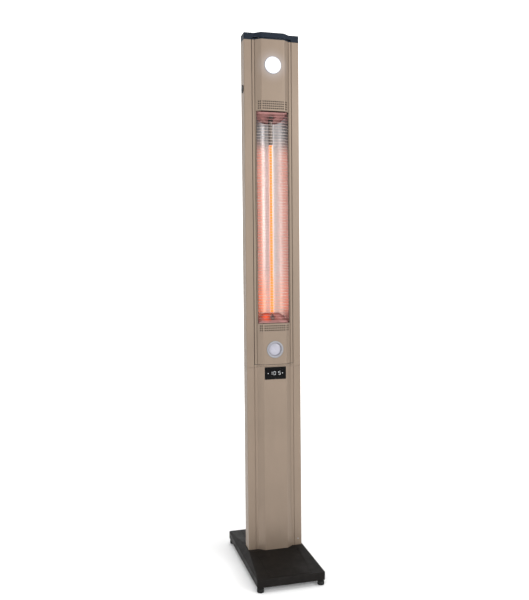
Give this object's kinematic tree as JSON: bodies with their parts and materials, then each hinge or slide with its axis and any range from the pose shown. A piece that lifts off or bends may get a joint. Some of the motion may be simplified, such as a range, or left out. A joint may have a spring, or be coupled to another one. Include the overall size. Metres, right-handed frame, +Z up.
{
  "type": "infrared patio heater tower",
  "caption": "Free-standing infrared heater tower with a tilting heater head between two posts, a turning upper frame, a display column and a weighted sloped base.",
  "frame": {"origin": "centre of the base at floor level, on the turning axis of the upper frame", "axes": "+Z is up, -Y is the display side, +X is the right post seen from the display side"},
  "size_m": [0.252, 0.48, 2],
  "materials": {
    "body_paint": "satin powder coat, champagne",
    "black_plastic": "fine-grained black plastic",
    "base_paint": "fine-textured dark powder coat",
    "zinc_steel": "zinc-plated steel",
    "ballast_steel": "raw cut slab",
    "cast_alu": "machined aluminium",
    "mirror_alu": "bright rolled reflector sheet",
    "foot_rubber": "moulded rubber",
    "cable_rubber": "cable jacket",
    "white_plastic": "moulded white plastic",
    "bush_plastic": "bearing plastic",
    "washer_fibre": "pressed friction fibre",
    "board_green": "circuit board",
    "part_grey": "moulded component",
    "window_black": "polished black window",
    "trim_black": "satin black trim",
    "digit_light": "lit segments",
    "tube_quartz": "clear quartz",
    "element_glow": "glowing coil",
    "socket_ceramic": "unglazed ceramic",
    "guard_wire": "heat-stained wire",
    "lamp_ring": "satin lamp ring"
  },
  "bodies": {
    "column": {"base_cover": "base_paint", "base_plate": "zinc_steel", "base_riser": "zinc_steel", "ballast_weights": "ballast_steel", "ballast_bolts": "zinc_steel", "rubber_feet": "foot_rubber", "foot_screws": "zinc_steel", "tilt_switch": "white_plastic", "cable_gland": "black_plastic", "supply_lead": "cable_rubber", "column_plugs": "cast_alu", "column_bolts": "zinc_steel", "lower_post_left": "body_paint", "lower_post_right": "body_paint", "lower_front_panel": "body_paint", "lower_back_panel": "body_paint", "panel_screws": "zinc_steel", "display_frame": "trim_black", "display_window": "window_black", "display_digits": "digit_light", "control_board": "board_green", "power_board": "board_green", "board_parts": "part_grey", "terminal_block": "white_plastic", "column_harness": "cable_rubber", "column_top_plate": "zinc_steel", "bearing_block": "cast_alu", "swivel_bushes": "bush_plastic", "thrust_washer": "washer_fibre", "swivel_stop_pin": "zinc_steel"},
    "frame": {"swivel_spindle": "zinc_steel", "swivel_fasteners": "zinc_steel", "crossbar": "zinc_steel", "crossbar_lid": "black_plastic", "crossbar_fascia": "body_paint", "post_plugs": "cast_alu", "post_screws": "zinc_steel", "upper_post_left": "body_paint", "upper_post_right": "body_paint", "handle": "black_plastic", "pivot_blocks": "cast_alu", "pivot_pins": "zinc_steel", "pivot_caps": "black_plastic", "friction_washers": "washer_fibre", "head_stop_pins": "zinc_steel", "post_cable": "cable_rubber"},
    "head": {"head_shell": "body_paint", "head_front_panel": "body_paint", "top_end_cap": "black_plastic", "bottom_end_cap": "black_plastic", "end_cap_screws": "zinc_steel", "pivot_plates": "zinc_steel", "reflector": "mirror_alu", "reflector_ends": "mirror_alu", "quartz_tube": "tube_quartz", "heating_element": "element_glow", "tube_sockets": "socket_ceramic", "guard_grille": "guard_wire", "lamps": "lamp_ring", "head_wiring": "cable_rubber"}
  },
  "joints": [
    {"name": "frame_swivel", "type": "hinge", "parent": "column", "child": "frame", "pos_m": [0, 0, 0.766], "axis": [0, 0, 1], "range_deg": [0, 180]},
    {"name": "head_pivot", "type": "hinge", "parent": "frame", "child": "head", "pos_m": [0, 0, 1.8], "axis": [1, 0, 0], "range_deg": [0, 102]}
  ]
}
